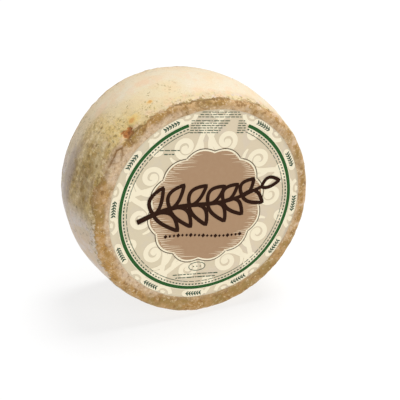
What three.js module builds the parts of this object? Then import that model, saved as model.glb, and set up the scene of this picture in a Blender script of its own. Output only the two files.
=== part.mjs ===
// An aged goat's milk cheese: a bulging wheel standing on its rim, with a round paper label on its front.
// Millimetres, +Z up. The wheel's axis runs along Y and the labelled face looks along -Y.
// The origin is on the surface that the cheese stands on, below the middle of the wheel.
import * as THREE from "three";

// Wheel
const WHEEL_RADIUS = 105; // at the middle of the bulging rim
const WHEEL_THICKNESS = 96; // from face to face
const SHOULDER_RADIUS = 99.8; // where the rim meets the rounded edge of a face
const EDGE_ROUND = 5; // radius of that rounded edge
const BULGE_POWER = 1.82; // 2 is a plain parabola along the rim
const FLAT_SPOT_DEPTH = 1.3; // how far the weight of the cheese has pressed its rim flat

// Rings of the mesh
const AROUND = 108; // steps around the wheel
const FACE_RINGS = [0, 0.3, 0.55, 0.75, 0.86, 0.93, 0.97]; // shares of the flat face's radius
const EDGE_STEPS = 4; // over the rounded edge
const RIM_RINGS = [42, 40.8, 38.5, 35, 30, 22, 14, 7]; // distances from the middle plane

// Unevenness of the rind
const OUT_OF_ROUND = [
  { lobes: 3, size: 0.48, at: 50.1 },
  { lobes: 4, size: 0.46, at: 19.4 },
  { lobes: 5, size: 0.54, at: 49.4 },
];
const SWELL = { longest: 64, size: 0.17, shrink: 0.78 }; // each wave is shorter and lower than the last
const RIM_WAVES = 7;
const FACE_WAVES = 3;
const FACE_SWELL = 1.6; // the back face is more uneven than the rim
const LIP = { place: 42.8, stray: 1.3, height: 0.9, slope: 0.8, inner: 2, outer: 14 }; // edge of the rind
const LIP_BACK = 0.5; // share of that height on the back half
const LIP_LOW = { from: 173, to: 206, soft: 7, shift: 4.4 }; // it reaches further out at the front's lower left
const LIP_SPILL = { from: 161, to: 169, soft: 7, shift: -5.5 }; // and less far where the brown spills inwards
const CHIP = { angle: 129.5, y: -39, core: 2, radius: 5.2, depth: 2.2 }; // a flake missing from the lip

// Label
const LABEL_RADIUS = 87.8;
const LABEL_PAPER = 0.3;
const LABEL_SIDEWAYS = 1.4; // the label was stuck on a little off centre
const LABEL_UP = 3.2;
const LABEL_TURN = 8.8; // degrees clockwise, seen from the front
const LABEL_MARGIN = { flat: 3, uneven: 7 }; // the face is pressed flat under the label and just around it
const GAP = 0.1; // between layers

// Fields of colour printed on the label
const INK = 0.15;
const BAND_RADIUS = 78.2; // middle of the green band
const BAND_WIDTH = 2.8;
const BAND_OPENING = 41; // degrees left open at the top of the label
const ROSETTE = { lobes: 12, radius: 52, scallop: 3.4, steps: 12 }; // steps are for each lobe
const CIRCLE_STEPS = 72;

// Looks
const RIND_LOOK = { color: 0xcdb78a, roughness: 0.85, metalness: 0 };
const PAPER_LOOK = { color: 0xece2c8, roughness: 0.6, metalness: 0 };
const BAND_LOOK = { color: 0x2f6b3a, roughness: 0.6, metalness: 0 };
const ROSETTE_LOOK = { color: 0xb08d70, roughness: 0.6, metalness: 0 };

const HALF_THICKNESS = WHEEL_THICKNESS / 2;
const RIM_HALF = HALF_THICKNESS - EDGE_ROUND; // half the rim's width, between its rounded edges
const FACE_RADIUS = SHOULDER_RADIUS - EDGE_ROUND;
const CENTRE_HEIGHT = WHEEL_RADIUS - FLAT_SPOT_DEPTH;

const radians = THREE.MathUtils.degToRad;
const smooth = THREE.MathUtils.smoothstep;

// Radius of the smooth barrel at a distance from the middle plane
function barrelRadius(y) {
  return SHOULDER_RADIUS + (WHEEL_RADIUS - SHOULDER_RADIUS) * (1 - (Math.abs(y) / RIM_HALF) ** BULGE_POWER);
}

// Half of the section, from the middle of a face almost to the middle of the rim, as (radius, distance)
function halfSection() {
  const points = FACE_RINGS.map((share) => new THREE.Vector2(share * FACE_RADIUS, HALF_THICKNESS));
  for (let i = 0; i <= EDGE_STEPS; i++) {
    const turn = (Math.PI / 2) * (i / EDGE_STEPS);
    const radius = FACE_RADIUS + EDGE_ROUND * Math.sin(turn);
    points.push(new THREE.Vector2(radius, RIM_HALF + EDGE_ROUND * Math.cos(turn)));
  }
  RIM_RINGS.forEach((y) => points.push(new THREE.Vector2(barrelRadius(y), y)));
  return points;
}

// The whole section, from the middle of the front face round the rim to the middle of the back face
function wheelSection() {
  const half = halfSection();
  const front = half.map((p) => new THREE.Vector2(p.x, -p.y));
  const back = half.map((p) => p.clone()).reverse();
  return [...front, new THREE.Vector2(WHEEL_RADIUS, 0), ...back];
}

// How far the outline departs from a circle at an angle around the wheel
function outOfRound(angle) {
  return OUT_OF_ROUND.reduce(
    (sum, wave) => sum + wave.size * Math.cos(wave.lobes * (angle - radians(wave.at))),
    0,
  );
}

// Broad hollows and swellings: waves of several lengths, each along its own direction
function swell(x, y, z, count) {
  const goldenAngle = Math.PI * (3 - Math.sqrt(5));
  let sum = 0;
  for (let k = 0; k < count; k++) {
    const share = SWELL.shrink ** k;
    const along = -1 + (2 * k + 1) / count;
    const across = Math.sqrt(1 - along * along);
    const way = x * across * Math.cos(goldenAngle * k) + y * along + z * across * Math.sin(goldenAngle * k);
    sum += SWELL.size * share * Math.sin((2 * Math.PI * way) / (SWELL.longest * share) + 1.7 * k);
  }
  return sum;
}

// An uneven value between about -1 and 1 that comes back to itself around the wheel
function wander(angle, start) {
  const waves = [5, 8, 13, 21, 29];
  return waves.reduce((sum, n, i) => sum + Math.sin(n * angle + start + 2.1 * i) / (1.6 + 0.5 * i), 0) / 2;
}

// 1 between two angles in degrees, with soft ends
function within(angle, { from, to, soft }) {
  const beyond = THREE.MathUtils.radToDeg(angle) - (from + to) / 2;
  const apart = THREE.MathUtils.euclideanModulo(beyond + 180, 360) - 180;
  return 1 - smooth(Math.abs(apart), (to - from) / 2, (to - from) / 2 + soft);
}

// Height of the rim's rind over the edge band, from an uneven lip inwards
function lip(angle, y) {
  const shifts = [LIP_LOW, LIP_SPILL].map((part) => (y < 0 ? part.shift * within(angle, part) : 0));
  const place = LIP.place + LIP.stray * wander(angle, y < 0 ? 0.4 : 3.9) + shifts[0] + shifts[1];
  const inward = place - Math.abs(y);
  const height = LIP.height * (y < 0 ? 1 : LIP_BACK) * (0.75 + 0.5 * wander(angle, y < 0 ? 2.2 : 5.1));
  return height * smooth(inward, -LIP.slope, LIP.slope) * (1 - smooth(inward, LIP.inner, LIP.outer));
}

// Depth of the chip in the lip at a place on the rim
function chip(angle, y) {
  const apart = angle - radians(CHIP.angle);
  if (Math.cos(apart) < 0) return 0;
  const distance = Math.hypot(WHEEL_RADIUS * Math.sin(apart), y - CHIP.y);
  return CHIP.depth * (1 - smooth(distance, CHIP.core, CHIP.radius));
}

// How uneven a place is: 0 under the label and just around it, 1 elsewhere
function bare(x, y, z) {
  if (y > 0) return 1;
  const beyond = Math.hypot(x - LABEL_SIDEWAYS, z - LABEL_UP) - LABEL_RADIUS;
  return smooth(beyond, LABEL_MARGIN.flat, LABEL_MARGIN.uneven);
}

function cheeseWheel() {
  const geometry = new THREE.LatheGeometry(wheelSection(), AROUND);
  const position = geometry.getAttribute("position");
  for (let i = 0; i < position.count; i++) {
    const [x, y, z] = [position.getX(i), position.getY(i), position.getZ(i)];
    const radius = Math.hypot(x, z);
    const angle = Math.atan2(z, x);
    const outward = smooth(radius, 0.6 * FACE_RADIUS, SHOULDER_RADIUS);
    const onRim = smooth(radius, FACE_RADIUS, SHOULDER_RADIUS);
    const relief = swell(x, y, z, RIM_WAVES) + lip(angle, y) - chip(angle, y);
    const grow = outward * outOfRound(angle) + onRim * relief;
    const stretch = radius > 0 ? 1 + grow / radius : 1;
    const proud = (1 - onRim) * bare(x, y, z) * FACE_SWELL * swell(x, y, z, FACE_WAVES);
    position.setXYZ(i, x * stretch, y + Math.sign(y) * proud, Math.max(z * stretch, -CENTRE_HEIGHT));
  }
  const mesh = new THREE.Mesh(geometry, new THREE.MeshStandardMaterial(RIND_LOOK));
  mesh.name = "cheese_wheel";
  return mesh;
}

// A flat shape in the label's own plane, raised towards the front by its thickness
function plate(name, shape, thickness, look, curveSegments) {
  const geometry = new THREE.ExtrudeGeometry(shape, { depth: thickness, bevelEnabled: false, curveSegments });
  geometry.rotateX(Math.PI / 2);
  const mesh = new THREE.Mesh(geometry, new THREE.MeshStandardMaterial(look));
  mesh.name = name;
  return mesh;
}

function paperLabel() {
  const shape = new THREE.Shape().absarc(0, 0, LABEL_RADIUS, 0, 2 * Math.PI, false);
  return plate("paper_label", shape, LABEL_PAPER, PAPER_LOOK, CIRCLE_STEPS);
}

// The green band is open at the top
function greenBand() {
  const from = radians(90 + BAND_OPENING / 2);
  const to = radians(450 - BAND_OPENING / 2);
  const shape = new THREE.Shape();
  shape.absarc(0, 0, BAND_RADIUS + BAND_WIDTH / 2, from, to, false);
  shape.absarc(0, 0, BAND_RADIUS - BAND_WIDTH / 2, to, from, true);
  return plate("green_band", shape, INK, BAND_LOOK, CIRCLE_STEPS);
}

// A scalloped disc in the middle of the label
function rosette() {
  const steps = ROSETTE.lobes * ROSETTE.steps;
  const points = Array.from({ length: steps }, (_, i) => {
    const turn = (2 * Math.PI * i) / steps;
    const dip = 1 - Math.abs(Math.sin((ROSETTE.lobes * turn) / 2));
    const radius = ROSETTE.radius - ROSETTE.scallop * dip;
    return new THREE.Vector2(radius * Math.cos(turn), radius * Math.sin(turn));
  });
  return plate("rosette", new THREE.Shape(points), INK, ROSETTE_LOOK, 1);
}

function label() {
  const group = new THREE.Group();
  group.add(paperLabel());
  for (const ink of [greenBand(), rosette()]) {
    ink.position.y = -LABEL_PAPER - GAP;
    group.add(ink);
  }
  group.position.set(LABEL_SIDEWAYS, -HALF_THICKNESS - GAP, LABEL_UP);
  group.rotation.y = radians(LABEL_TURN);
  return group;
}

const cheese = new THREE.Group();
cheese.add(cheeseWheel(), label());
cheese.position.z = CENTRE_HEIGHT;

export default cheese;
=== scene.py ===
"""Dresses the solid cheese wheel: its uneven rind, its paper label and the generic print on the label."""

import math
from itertools import product

import bpy
import numpy as np
from bpy.props import FloatProperty, FloatVectorProperty, IntProperty, PointerProperty
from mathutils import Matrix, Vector


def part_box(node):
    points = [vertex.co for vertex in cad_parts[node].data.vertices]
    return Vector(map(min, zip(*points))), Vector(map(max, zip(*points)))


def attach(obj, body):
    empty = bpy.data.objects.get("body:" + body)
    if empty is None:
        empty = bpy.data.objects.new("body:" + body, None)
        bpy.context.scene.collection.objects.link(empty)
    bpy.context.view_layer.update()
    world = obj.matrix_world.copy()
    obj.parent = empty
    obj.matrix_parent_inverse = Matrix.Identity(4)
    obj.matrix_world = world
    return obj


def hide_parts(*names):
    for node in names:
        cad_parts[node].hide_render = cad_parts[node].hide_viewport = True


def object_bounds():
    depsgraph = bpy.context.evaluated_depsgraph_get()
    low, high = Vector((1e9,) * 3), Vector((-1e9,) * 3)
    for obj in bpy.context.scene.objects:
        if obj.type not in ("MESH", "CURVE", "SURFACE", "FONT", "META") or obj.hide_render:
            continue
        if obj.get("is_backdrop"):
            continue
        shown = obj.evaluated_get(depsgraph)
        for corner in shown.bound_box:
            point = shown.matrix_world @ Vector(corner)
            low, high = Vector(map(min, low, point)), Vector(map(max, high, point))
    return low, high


bl_info = {
    "name": "Cheese Wheel Finish",
    "version": (1, 0, 0),
    "blender": (4, 5, 0),
    "location": "3D View > Sidebar > Cheese",
    "description": "Makes the rind, the paper label and the print of an aged cheese wheel",
    "category": "Add Mesh",
}

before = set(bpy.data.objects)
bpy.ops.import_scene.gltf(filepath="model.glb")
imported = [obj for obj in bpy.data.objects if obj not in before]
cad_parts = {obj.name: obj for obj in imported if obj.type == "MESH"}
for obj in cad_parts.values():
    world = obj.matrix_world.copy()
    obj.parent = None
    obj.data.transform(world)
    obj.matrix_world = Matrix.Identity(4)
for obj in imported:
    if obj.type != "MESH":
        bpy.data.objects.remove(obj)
CAD_LOW, CAD_HIGH = (corner.copy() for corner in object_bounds())
LABEL_LOW, LABEL_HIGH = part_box("paper_label")

MM = 0.001
TURN = 2 * math.pi
GOLDEN_ANGLE = math.pi * (3 - math.sqrt(5))


def srgb(red, green, blue):
    """A screen colour from 0 to 255 as the linear colour that Blender works in."""
    channels = []
    for value in (red, green, blue):
        share = value / 255
        channels.append(share / 12.92 if share <= 0.04045 else ((share + 0.055) / 1.055) ** 2.4)
    return tuple(channels)


# Settings that a user would change


def length(name, default, description):
    """A length property with its unit."""
    return FloatProperty(name=name, default=default, description=description, unit="LENGTH", precision=5)


def angle(name, degrees, description):
    """An angle property, given in degrees."""
    return FloatProperty(name=name, default=math.radians(degrees), description=description, subtype="ANGLE")


def colour(name, red, green, blue, description):
    """A colour property, given as a screen colour."""
    default = srgb(red, green, blue)
    return FloatVectorProperty(
        name=name, default=default, description=description, subtype="COLOR", size=3, min=0, max=1
    )


class CheeseWheelSizes(bpy.types.PropertyGroup):
    """Sizes of the wheel and its rind."""

    radius: length("Radius", 0.105, "Radius at the middle of the bulging rim")
    shoulder: length("Shoulder", 0.0998, "Radius where the rim meets the rounded edge of a face")
    thickness: length("Thickness", 0.096, "From face to face")
    edge_round: length("Edge rounding", 0.005, "Radius of the rounded edge between rim and face")
    flat_spot: length("Flat spot", 0.0013, "How far the rim is pressed flat where the wheel stands")
    lip_height: length("Lip", 0.0009, "How far the rim's rind stands over the rough edge band")
    bulge: FloatProperty(name="Bulge", default=1.82, description="Power of the rim's curve: 2 is a parabola")
    around: IntProperty(name="Around", default=640, description="Steps of the mesh around the wheel")


class CheeseLabelSizes(bpy.types.PropertyGroup):
    """Sizes of the paper label and what is printed on it."""

    turn: angle("Turn", 8.8, "How far the label is turned clockwise")
    paper: length("Paper", 0.0003, "Thickness of the label's paper")
    band_radius: length("Band radius", 0.0782, "Middle of the green band")
    band_width: length("Band width", 0.0030, "Width of the green band")
    opening: angle("Opening", 41, "Part of the green band left open")
    rosette_radius: length("Rosette", 0.052, "Radius of the scalloped rosette")
    scallop: length("Scallop", 0.0034, "Depth between two lobes of the rosette")
    lobes: IntProperty(name="Lobes", default=12, description="Lobes around the rosette")
    lost_print: FloatProperty(name="Lost print", default=0, description="Share of the fine dashes left out")


class CheeseColours(bpy.types.PropertyGroup):
    """Colours of the rind, the paper and the inks."""

    cream: colour("Cream rind", 224, 211, 185, "Clean rind on the upper rim")
    warm: colour("Warm rind", 226, 206, 174, "Warmer patches of the clean rind")
    edge: colour("Edge of the rim", 213, 192, 153, "Rim's rind next to the edge band")
    olive: colour("Olive rind", 200, 171, 104, "Mould-tinted rind on the side")
    khaki: colour("Khaki rind", 186, 152, 77, "Darker fields of the side")
    honey: colour("Honey rind", 219, 189, 122, "Yellow field on the upper side")
    pale: colour("Pale flecks", 225, 204, 150, "Pale flecks on the side")
    moss: colour("Moss", 153, 126, 68, "Olive-brown flecks and fields")
    streak: colour("Brown streaks", 140, 110, 54, "Dark streaks along the side")
    # Grey bloom with a painted sheen: dry mould, greyed where the rim turns away towards the back and low on
    # the left
    bloom: colour("Bloom", 211, 203, 203, "Dry grey bloom towards the back")
    dust: colour("Dust", 209, 192, 183, "Warmer patches of the bloom")
    lichen: colour("Lichen", 196, 184, 152, "Greenish patches of the bloom")
    # Dull lilac: flecks in the grey bloom, and a field that is partly painted shade where the side turns from
    # the light
    shade: colour("Lilac field", 165, 147, 136, "Dull field behind the dark streaks")
    rosy: colour("Rosy rind", 214, 186, 156, "Rosy fields of the rind")
    blush: colour("Blush", 228, 194, 158, "Soft spots on the rim")
    lilac: colour("Lilac spots", 222, 208, 202, "Pale lilac spots near the lip")
    stain: colour("Stain", 230, 192, 98, "Yellow stain on the rim")
    rust: colour("Rust", 206, 144, 70, "Dark middle of the stain")
    scar: colour("Scar", 132, 80, 36, "Dark parts of the chip")
    flesh: colour("Chip", 176, 114, 56, "Bared cheese in the chip")
    ochre: colour("Ochre", 178, 136, 74, "Orange-brown stretch of the edge band")
    band: colour("Edge band", 172, 132, 74, "Rough brown rind over the edges")
    tan: colour("Tan band", 202, 166, 120, "Lighter patches of the edge band")
    deep: colour("Deep band", 140, 102, 54, "Hollows of the edge band")
    # Painted shadow: the dark line in the crease under the lip's ledge
    crease: colour("Crease", 134, 104, 58, "Crease under the rim's rind")
    crumb: colour("Crumbs", 224, 202, 164, "Pale crumbs on the edge band")
    face: colour("Face rind", 205, 180, 150, "Pinkish rind of the flat faces")
    speck: colour("Specks", 116, 100, 56, "Dark specks and pits")
    paper: colour("Paper", 222, 206, 177, "Beige ground of the label")
    lilac_paper: colour("Lilac paper", 217, 203, 186, "Lilac patches of the label's ground")
    damp: colour("Damp paper", 212, 206, 175, "Greener, darker patches of the label's ground")
    fibre: colour("Fibres", 206, 190, 160, "Fibres of the paper")
    cream_ink: colour("Cream ink", 247, 236, 208, "Scrolls on the label")
    green_ink: colour("Green ink", 45, 91, 46, "Band on the label")
    leaf_ink: colour("Dark green ink", 50, 80, 60, "Small leaves and dashes on the label")
    brown_ink: colour("Brown ink", 174, 141, 110, "Rosette on the label")
    hatch_ink: colour("Hatching ink", 226, 208, 180, "Hatching of the rosette")
    outline_ink: colour("Outline ink", 84, 66, 46, "Outline of the rosette")
    dark_ink: colour("Dark ink", 46, 24, 14, "Large sprig on the label")


class CheeseView(bpy.types.PropertyGroup):
    """The camera's place, and where the wheel's middle lies in the picture."""

    azimuth: angle("Azimuth", -21.76, "Camera's turn around the wheel")
    elevation: angle("Elevation", 25.22, "Camera's height angle")
    distance: length("Distance", 1.0, "From the wheel's middle to the camera")
    lens: FloatProperty(name="Lens", default=100.87, description="Focal length in millimetres")
    sensor: FloatProperty(name="Sensor", default=36, description="Width of the sensor in millimetres")
    wheel_across: FloatProperty(name="Wheel across", default=183.83, description="Pixels from the left")
    wheel_down: FloatProperty(name="Wheel down", default=187.45, description="Pixels from the top")
    picture: FloatProperty(name="Picture", default=400, description="Picture's width and height in pixels")


# Noise and masks

HASH_FACTORS = (374761393, 668265263, 1440662683)
HASH_SEED = 974711
HASH_MIX = 1274126177
HASH_BITS = 0xFFFFFFFF


def lattice(cells, seed):
    """Random values from -1 to 1 for whole-number places, the same in each run."""
    mixed = sum(cells[:, i] * factor for i, factor in enumerate(HASH_FACTORS))
    mixed = (mixed + seed * HASH_SEED) & HASH_BITS
    mixed = ((mixed ^ (mixed >> 13)) * HASH_MIX) & HASH_BITS
    return ((mixed ^ (mixed >> 16)) & 0xFFFF) / 32767.5 - 1


def smooth_noise(points, lump, seed):
    """Smooth noise from about -1 to 1 with lumps of a given size."""
    cells = points / lump
    base = np.floor(cells).astype(np.int64)
    share = cells - base
    share = share * share * (3 - 2 * share)
    total = np.zeros(len(points))
    for corner in product((0, 1), repeat=3):
        weight = np.prod(np.where(np.array(corner) == 1, share, 1 - share), axis=1)
        total += weight * lattice(base + np.array(corner), seed)
    return total


def rough_noise(points, lump, seed, octaves=4, gain=0.55):
    """Noise with ever finer lumps on top."""
    total = np.zeros(len(points))
    reach = 0
    for octave in range(octaves):
        share = gain**octave
        total += share * smooth_noise(points + 0.37 * octave, lump / 2**octave, seed + octave)
        reach += share
    return total / reach * 1.6


def smooth_step(value, low, high):
    """0 below low, 1 above high and a soft change between."""
    share = np.clip((value - low) / (high - low), 0, 1)
    return share * share * (3 - 2 * share)


def bump_mask(value, middle, half, soft):
    """1 within half of middle, and a soft change over the soft margin around that."""
    return 1 - smooth_step(np.abs(value - middle), half, half + soft)


def angle_mask(angle, start, end, soft):
    """1 between two angles in degrees, counter-clockwise from start to end, with soft ends."""
    middle = math.radians((start + end) / 2)
    half = math.radians((end - start) / 2)
    apart = np.abs((angle - middle + math.pi) % TURN - math.pi)
    return 1 - smooth_step(apart, half, half + math.radians(soft))


# Meshes and pieces


def new_piece(name, points, faces, material, smooth=True):
    """A mesh object from points in metres and lists of corners."""
    mesh = bpy.data.meshes.new(name)
    mesh.from_pydata(points.tolist(), [], faces)
    mesh.update()
    mesh.polygons.foreach_set("use_smooth", [smooth] * len(mesh.polygons))
    mesh.materials.append(material)
    piece = bpy.data.objects.new(name, mesh)
    bpy.context.scene.collection.objects.link(piece)
    return piece


def keep_mask(piece, name, values):
    """Stores one value for each point, which the material reads by name."""
    layer = piece.data.attributes.new(name, "FLOAT", "POINT")
    layer.data.foreach_set("value", values.astype(np.float32))


def belongs(piece, slot, *nodes):
    """The piece rides with the cheese and hides the CAD nodes that it stands for; the slot is not used."""
    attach(piece, "root")
    if nodes:
        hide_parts(*nodes)


# Material nodes


class Finish:
    """A node material that is built up with short calls."""

    def __init__(self, name, roughness, specular=0.5):
        self.material = bpy.data.materials.new(name)
        self.material.use_nodes = True
        self.nodes = self.material.node_tree.nodes
        self.links = self.material.node_tree.links
        self.surface = self.nodes["Principled BSDF"]
        self.fix("Roughness", roughness)
        self.fix("Specular IOR Level", specular)
        self.colours = bpy.context.scene.cheese_colours
        self.place = self.nodes.new("ShaderNodeTexCoord").outputs["Object"]
        self.patterns = {}
        self.masks = {}

    def fix(self, name, value):
        """Sets one of the surface's own values."""
        self.surface.inputs[name].default_value = value

    def feed(self, socket, value):
        """Links a socket to a node's output, or sets its value."""
        if isinstance(value, bpy.types.NodeSocket):
            self.links.new(value, socket)
        elif socket.type == "RGBA":
            socket.default_value = (*value, 1)
        else:
            socket.default_value = value

    def add(self, kind, output, inputs, **settings):
        """A new node with its settings and inputs, as one of its outputs."""
        node = self.nodes.new(kind)
        for name, value in settings.items():
            setattr(node, name, value)
        for name, value in inputs.items():
            self.feed(node.inputs[name], value)
        return node.outputs[output]

    def mask(self, name):
        """The values stored on the mesh under a name."""
        if name not in self.masks:
            self.masks[name] = self.add("ShaderNodeAttribute", "Fac", {}, attribute_name=name)
        return self.masks[name]

    def axis(self, name):
        """Places along one axis, in metres."""
        return self.add("ShaderNodeSeparateXYZ", name, {"Vector": self.place})

    def stretched(self, scale):
        """Places along X, Y and Z multiplied by a scale."""
        return self.add("ShaderNodeMapping", "Vector", {"Vector": self.place, "Scale": scale})

    def noise(self, lump, detail, roughness, squeeze=None):
        """Noise from 0 to 1 with lumps of a size in millimetres, squeezed along X, Y and Z if asked."""
        place = self.stretched(squeeze) if squeeze else self.place
        inputs = {"Vector": place, "Scale": 1 / (lump * MM), "Detail": detail, "Roughness": roughness}
        return self.add("ShaderNodeTexNoise", "Fac", inputs)

    def math(self, operation, *values, clamp=True):
        """One sum of two or three values, kept from 0 to 1 unless told otherwise."""
        inputs = dict(enumerate(values))
        return self.add("ShaderNodeMath", "Value", inputs, operation=operation, use_clamp=clamp)

    def uneven(self, value, *noises):
        """A value that is raised and lowered by pairs of a noise and its weight."""
        for noise, weight in noises:
            noise = self.patterns[noise] if isinstance(noise, str) else noise
            value = self.math("MULTIPLY_ADD", noise, weight, value, clamp=False)
        return self.math("SUBTRACT", value, sum(weight for _, weight in noises) / 2, clamp=False)

    def step(self, value, low, high):
        """0 below low, 1 above high and a soft change between; low above high turns it round."""
        ends = (1.0, 0.0) if low > high else (0.0, 1.0)
        inputs = {"Value": value, "From Min": min(low, high), "From Max": max(low, high)}
        inputs.update({"To Min": ends[0], "To Max": ends[1]})
        return self.add("ShaderNodeMapRange", "Result", inputs, interpolation_type="SMOOTHSTEP")

    def share(self, limit):
        """A share by a mask's name or by a pattern's name and range; a number or an output stays as it is."""
        if isinstance(limit, str):
            return self.mask(limit)
        if isinstance(limit, tuple):
            pattern, low, high = limit
            return self.step(self.patterns[pattern], low, high)
        return limit

    def together(self, *limits):
        """Shares multiplied together."""
        total = self.share(limits[0])
        for limit in limits[1:]:
            total = self.math("MULTIPLY", total, self.share(limit))
        return total

    def tone(self, colour):
        """A colour by its name; an output stays as it is."""
        return getattr(self.colours, colour) if isinstance(colour, str) else colour

    def mix(self, share, first, second, blend="MIX"):
        """A blend of two colours."""
        inputs = {"Factor": self.share(share), "A": self.tone(first), "B": self.tone(second)}
        return self.add("ShaderNodeMix", "Result", inputs, data_type="RGBA", blend_type=blend)

    def lay(self, base, *layers):
        """Colours laid over a base; each layer is a colour and the shares that limit it."""
        for colour, *limits in layers:
            base = self.mix(self.together(*limits), base, colour)
        return base

    def done(self, base, height=None, depth=0.0, strength=0.0):
        """Sets the colour and the bump, and returns the material."""
        self.feed(self.surface.inputs["Base Color"], base)
        if height is not None:
            inputs = {"Height": height, "Distance": depth, "Strength": strength}
            self.feed(self.surface.inputs["Normal"], self.add("ShaderNodeBump", "Normal", inputs))
        return self.material


# The wheel's form, which repeats the formulas of the solid

# Lobes, height of each and where the first stands, in degrees
OUT_OF_ROUND = ((3, 0.48 * MM, 50.1), (4, 0.46 * MM, 19.4), (5, 0.54 * MM, 49.4))
# Broad swellings: the longest wave and its height, how each next wave shrinks and is shifted, and how many
# waves the rim and the faces have
SWELL_LONGEST = 64 * MM
SWELL_SIZE = 0.17 * MM
SWELL_SHRINK = 0.78
SWELL_PHASE = 1.7
RIM_WAVES = 7
FACE_WAVES = 3
FACE_SWELL = 1.6
WANDER_WAVES = (5, 8, 13, 21, 29)
# Where the rim's rind ends along the section, how far that strays and frays, and the lip's height on the back
# as a share of the front's
LIP_PLACE = 43.4 * MM
LIP_STRAY = 1.3 * MM
LIP_FRAY = 0.9 * MM
LIP_BACK = 0.25
# How far the lip moves towards the middle of the face on two of the stretches below
LIP_SHIFTS = {"lip_low": 4.4 * MM, "lip_spill": -5.5 * MM}
# Relief of the rind and of the face around and under the paper
PAPER_BEDDED = 0.3 * MM
LABEL_RECESS = 1.0 * MM
CRAG_DEPTH = 0.42 * MM
CRACK_DEPTH = 0.45 * MM
PIT_DEPTH = 0.5 * MM
WRINKLE_DEPTH = 0.6 * MM
CREASE_DEPTH = 0.5 * MM
MAT_DEPTH = 0.65 * MM
MAT_PITCH = 6.5 * MM
BACK_CRAGS = 0.6
CHIP = {"angle": 129.5, "y": -39.0 * MM, "radius": 5.2 * MM, "depth": 2.2 * MM}

# Noises of the form: size of the lumps, seed and octaves
FORM_NOISES = {
    "lump": (16 * MM, 11, 4),
    "patch": (7 * MM, 17, 4),
    "fine": (3.2 * MM, 23, 4),
    "crag": (5.5 * MM, 31, 3),
    "skin": (4.2 * MM, 41, 3),
    "chip": (3.4 * MM, 71, 3),
}

# Stretches of the circumference: from and to in degrees, counter-clockwise, and the soft ends
STRETCHES = {
    "right": (-48, 20, 30),
    "creased": (60, 131, 7),
    "pinker": (112, 232, 16),
    "rosy_face": (139, 152, 6),
    "lip_spill": (161, 169, 7),
    "ochre": (162, 232, 10),
    "lip_low": (173, 206, 7),
    "low_left": (184, 240, 12),
    "pale_face": (210, 234, 8),
    "under": (240, 315, 16),
    # The next two stretches darken the band along the bottom: moss, and painted shade low on the wheel
    "moss_and_shade_below": (240, 320, 20),
    "duller": (248, 320, 10),
    "less_pink": (250, 320, 12),
}

# Soft fields of the rim, as from, to and soft ends: in degrees along the circumference, and in millimetres
# from the middle plane
FIELDS = {
    "honey": ((112, 134, 10), (-40, -4, 24)),
    "streak": ((153, 169, 15), (-28, 8, 12)),
    "shade": ((157, 172, 14), (8, 20, 10)),
    # shade: a dull lilac field, partly painted shade where the left side turns from the light
    "rosy": ((194, 214, 14), (-34, 2, 12)),
    "speckled": ((100, 126, 10), (-34, -6, 12)),
}

# Spots of the rim: their colour, the range of the mask that it fades over, its share, and for each spot its
# angle in degrees, distance from the middle plane and radius in millimetres
SPOTS = {
    "blush": {
        "colour": "blush",
        "fade": (0.15, 0.65),
        "share": 0.5,
        "places": (
            (82.5, -30.7, 5.6),
            (74.5, -33.3, 5.0),
            (97.0, -34.5, 4.0),
            (116.0, -37.0, 5.2),
            (104.0, -33.0, 4.4),
            (133.4, -40.5, 6.0),
            (125.2, -40.8, 4.8),
            (108.0, 12.0, 10.0),
            (131.0, 18.0, 12.0),
        ),
    },
    "halo": {
        "colour": "stain",
        "fade": (0.15, 0.75),
        "share": 0.55,
        "places": ((123.6, -30.6, 10.5), (112.2, -23.9, 4.2)),
    },
    "stain": {
        "colour": "rust",
        "fade": (0.15, 0.70),
        "share": 0.75,
        "places": ((124.2, -31.2, 4.6), (112.2, -23.9, 2.8)),
    },
    "blot": {
        "colour": "streak",
        "fade": (0.25, 0.60),
        "share": 0.75,
        "places": (
            (136.7, -6.8, 2.8),
            (144.1, -15.4, 2.7),
            (145.8, -10.8, 2.9),
            (139.9, -30.6, 2.6),
            (151.3, -30.3, 2.7),
            (158.2, -19.7, 3.6),
            (161.5, -3.7, 3.8),
            (166.1, -20.3, 3.4),
        ),
    },
}

# Lines of the forked wrinkle and of a short one: start and end as angles in degrees and ways along the
# section in millimetres, and how deep each is
WRINKLES = (
    ((136.5, 45.5), (139.0, 42.8), 1.0),
    ((139.0, 42.8), (142.0, 44.2), 1.0),
    ((142.0, 44.2), (147.5, 45.0), 0.8),
    ((136.5, 45.5), (138.6, 49.1), 0.8),
    ((138.6, 49.1), (141.4, 51.1), 0.7),
    ((132.0, 44.0), (127.0, 42.4), 0.9),
)
WRINKLE_WIDTH = 0.95 * MM

# Steps between the mesh's rings, and how many rings the rounded edges and the band beside the front one have
LIP_STEP = 0.85 * MM
MIDDLE_STEP = 1.25 * MM
BACK_STEP = 1.15 * MM
BAND_STEP = 0.9 * MM
BACK_FACE_STEP = 1.5 * MM
BAND_RINGS = 14
FRONT_EDGE_RINGS = 10
BACK_EDGE_RINGS = 8


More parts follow.
